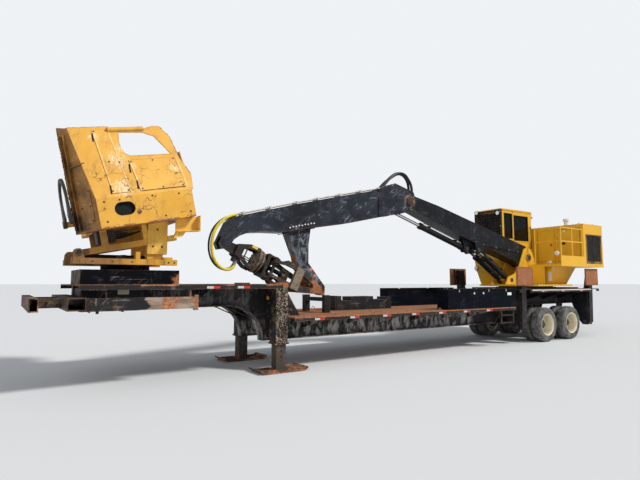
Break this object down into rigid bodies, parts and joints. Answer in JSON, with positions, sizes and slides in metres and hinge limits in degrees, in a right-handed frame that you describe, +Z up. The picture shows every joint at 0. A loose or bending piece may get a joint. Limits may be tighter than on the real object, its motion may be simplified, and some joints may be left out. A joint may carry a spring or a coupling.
{
  "type": "trailer-mounted log loader",
  "caption": "Knuckleboom log loader with cab on a lowboy gooseneck trailer: swing table, folding boom, grapple, front delimber box, sliding legs, fold-out stabilizers.",
  "frame": {"origin": "Middle of the machine's outer box, on the ground under the trailer's tyres and front legs.", "axes": "+X runs along the trailer to its rear axles, +Y is the side that the cab stands on, +Z is up."},
  "size_m": [15.56, 2.585, 4.4699],
  "materials": {
    "black_paint": "worn gloss black paint",
    "yellow_paint": "weathered yellow paint",
    "worn_deck": "black paint worn to rust",
    "rim_paint": "dusty cream paint",
    "tyre": "dusty rubber",
    "rod_chrome": "polished rod",
    "hose_rubber": "matte hose cover",
    "seat_cloth": "woven cloth",
    "engine_iron": "painted casting"
  },
  "bodies": {
    "trailer": {"main_frame": "black_paint", "decks": "worn_deck", "kingpin": "black_paint", "skidder_bar": "worn_deck", "leg_sleeves": "black_paint", "boom_rest": "black_paint", "tool_boxes": "black_paint", "ladder": "black_paint", "running_gear": "black_paint", "stabilizer_pockets": "black_paint", "turntable_base": "black_paint", "delimber_base": "black_paint"},
    "leg_near": {"leg_near": "black_paint"},
    "leg_far": {"leg_far": "black_paint"},
    "delimber_turn": {"delimber_pedestal": "yellow_paint"},
    "delimber_box": {"delimber_housing": "yellow_paint"},
    "knife_near": {"knife_near": "black_paint"},
    "knife_far": {"knife_far": "black_paint"},
    "upper": {"swing_frame": "yellow_paint", "upper_deck": "yellow_paint", "fluid_tank": "yellow_paint", "engine_housing": "yellow_paint", "housing_grille": "black_paint", "engine_block": "engine_iron", "cab_shell": "yellow_paint", "cab_guard": "black_paint", "cab_seat": "seat_cloth", "catwalk": "yellow_paint"},
    "housing_door": {"housing_door": "yellow_paint"},
    "cab_door": {"cab_door": "yellow_paint"},
    "boom": {"main_boom": "black_paint"},
    "stick": {"stick_boom": "black_paint", "stick_pipes": "black_paint", "elbow_hoses": "hose_rubber", "nose_hoses": "hose_rubber"},
    "lift_barrels": {"lift_barrels": "black_paint"},
    "lift_rods": {"lift_rods": "rod_chrome"},
    "stick_barrel": {"stick_barrel": "black_paint"},
    "stick_rod": {"stick_rod": "rod_chrome"},
    "grapple_hanger": {"grapple_hanger": "black_paint"},
    "grapple_head": {"grapple_head": "black_paint"},
    "tong_near": {"tong_near": "black_paint"},
    "tong_far": {"tong_far": "black_paint"},
    "wheel_front_near": {"tyres_front_near": "tyre", "rims_front_near": "rim_paint"},
    "stabilizer_front_near": {"stabilizer_front_near": "black_paint"},
    "wheel_front_far": {"tyres_front_far": "tyre", "rims_front_far": "rim_paint"},
    "stabilizer_front_far": {"stabilizer_front_far": "black_paint"},
    "wheel_rear_near": {"tyres_rear_near": "tyre", "rims_rear_near": "rim_paint"},
    "stabilizer_rear_near": {"stabilizer_rear_near": "black_paint"},
    "wheel_rear_far": {"tyres_rear_far": "tyre", "rims_rear_far": "rim_paint"},
    "stabilizer_rear_far": {"stabilizer_rear_far": "black_paint"}
  },
  "joints": [
    {"name": "wheel_front_near_spin", "type": "hinge", "parent": "trailer", "child": "wheel_front_near", "pos_m": [4.65, -0.91, 0.475], "axis": [0, 1, 0], "continuous": true},
    {"name": "stabilizer_front_near_fold", "type": "hinge", "parent": "trailer", "child": "stabilizer_front_near", "pos_m": [3.73, -0.95, 0.45], "axis": [1, 0, 0], "range_deg": [0, 97]},
    {"name": "wheel_front_far_spin", "type": "hinge", "parent": "trailer", "child": "wheel_front_far", "pos_m": [4.65, 0.91, 0.475], "axis": [0, 1, 0], "continuous": true},
    {"name": "stabilizer_front_far_fold", "type": "hinge", "parent": "trailer", "child": "stabilizer_front_far", "pos_m": [3.73, 0.95, 0.45], "axis": [-1, 0, 0], "range_deg": [0, 97]},
    {"name": "wheel_rear_near_spin", "type": "hinge", "parent": "trailer", "child": "wheel_rear_near", "pos_m": [5.88, -0.91, 0.475], "axis": [0, 1, 0], "continuous": true},
    {"name": "stabilizer_rear_near_fold", "type": "hinge", "parent": "trailer", "child": "stabilizer_rear_near", "pos_m": [7.21, -0.95, 0.45], "axis": [1, 0, 0], "range_deg": [0, 97]},
    {"name": "wheel_rear_far_spin", "type": "hinge", "parent": "trailer", "child": "wheel_rear_far", "pos_m": [5.88, 0.91, 0.475], "axis": [0, 1, 0], "continuous": true},
    {"name": "stabilizer_rear_far_fold", "type": "hinge", "parent": "trailer", "child": "stabilizer_rear_far", "pos_m": [7.21, 0.95, 0.45], "axis": [-1, 0, 0], "range_deg": [0, 97]},
    {"name": "leg_near_slide", "type": "slide", "parent": "trailer", "child": "leg_near", "axis": [0, 0, 1], "range_m": [0, 0.4]},
    {"name": "leg_far_slide", "type": "slide", "parent": "trailer", "child": "leg_far", "axis": [0, 0, 1], "range_m": [0, 0.4]},
    {"name": "delimber_swivel", "type": "hinge", "parent": "trailer", "child": "delimber_turn", "pos_m": [-6.295, 0, 1.945], "axis": [0, 0, 1], "range_deg": [-90, 90]},
    {"name": "delimber_tilt", "type": "hinge", "parent": "delimber_turn", "child": "delimber_box", "pos_m": [-7.12, 0, 2.11], "axis": [0, -1, 0], "range_deg": [0, 10]},
    {"name": "knife_near_close", "type": "hinge", "parent": "delimber_box", "child": "knife_near", "pos_m": [-7.22126, -0.43, 2.6426], "axis": [0.9781, 0, 0.2079], "range_deg": [0, 35]},
    {"name": "knife_far_close", "type": "hinge", "parent": "delimber_box", "child": "knife_far", "pos_m": [-7.22126, 0.43, 2.6426], "axis": [-0.9781, 0, -0.2079], "range_deg": [0, 35]},
    {"name": "swing", "type": "hinge", "parent": "trailer", "child": "upper", "pos_m": [5.48, 0, 1.54], "axis": [0, 0, 1], "continuous": true},
    {"name": "housing_door_swing", "type": "hinge", "parent": "upper", "child": "housing_door", "pos_m": [6.616, -0.45, 2.8], "axis": [0, 0, -1], "range_deg": [0, 100]},
    {"name": "cab_door_swing", "type": "hinge", "parent": "upper", "child": "cab_door", "pos_m": [6.16, 1.304, 3], "axis": [0, 0, -1], "range_deg": [0, 95]},
    {"name": "boom_lift", "type": "hinge", "parent": "upper", "child": "boom", "pos_m": [5.28, 0, 2.4], "axis": [0, 1, 0], "range_deg": [0, 55]},
    {"name": "lift_barrel_swing", "type": "hinge", "parent": "upper", "child": "lift_barrels", "pos_m": [4.43, 0, 1.72], "axis": [0, 1, 0], "range_deg": [0, 52.5]},
    {"name": "lift_rod_slide", "type": "slide", "parent": "lift_barrels", "child": "lift_rods", "axis": [-0.8602, 0, 0.51], "range_m": [0, 1.002]},
    {"name": "stick_swing", "type": "hinge", "parent": "boom", "child": "stick", "pos_m": [0.38, 0, 3.68], "axis": [0, 1, 0], "range_deg": [0, 24], "deforming": ["elbow_hoses"]},
    {"name": "stick_barrel_swing", "type": "hinge", "parent": "boom", "child": "stick_barrel", "pos_m": [2.7, 0, 2.58], "axis": [0, 1, 0], "range_deg": [0, 3.6]},
    {"name": "stick_rod_slide", "type": "slide", "parent": "stick_barrel", "child": "stick_rod", "axis": [-0.9559, 0, 0.2936], "range_m": [0, 0.1235]},
    {"name": "hanger_swing", "type": "hinge", "parent": "stick", "child": "grapple_hanger", "pos_m": [-4.48, 0, 2.42], "axis": [0, -1, 0], "range_deg": [0, 18], "deforming": ["nose_hoses"]},
    {"name": "rotator_turn", "type": "hinge", "parent": "grapple_hanger", "child": "grapple_head", "pos_m": [-3.76286, 0, 2.08863], "axis": [0.9078, 0, -0.4195], "range_deg": [-3, 3]},
    {"name": "tong_near_open", "type": "hinge", "parent": "grapple_head", "child": "tong_near", "pos_m": [-3.43606, -0.12, 1.93763], "axis": [-0.4195, 0, -0.9078], "range_deg": [0, 50]},
    {"name": "tong_far_open", "type": "hinge", "parent": "grapple_head", "child": "tong_far", "pos_m": [-3.43606, 0.12, 1.93763], "axis": [0.4195, 0, 0.9078], "range_deg": [0, 50]}
  ],
  "couplings": [
    {"joint": "lift_barrel_swing", "follows": "boom_lift", "ratio": 0.9527},
    {"joint": "lift_rod_slide", "follows": "boom_lift", "m_per_rad": 1.0426},
    {"joint": "stick_barrel_swing", "follows": "stick_swing", "ratio": 0.1487},
    {"joint": "stick_rod_slide", "follows": "stick_swing", "m_per_rad": 0.2936},
    {"joint": "tong_far_open", "follows": "tong_near_open", "ratio": 1},
    {"joint": "knife_far_close", "follows": "knife_near_close", "ratio": 1}
  ]
}
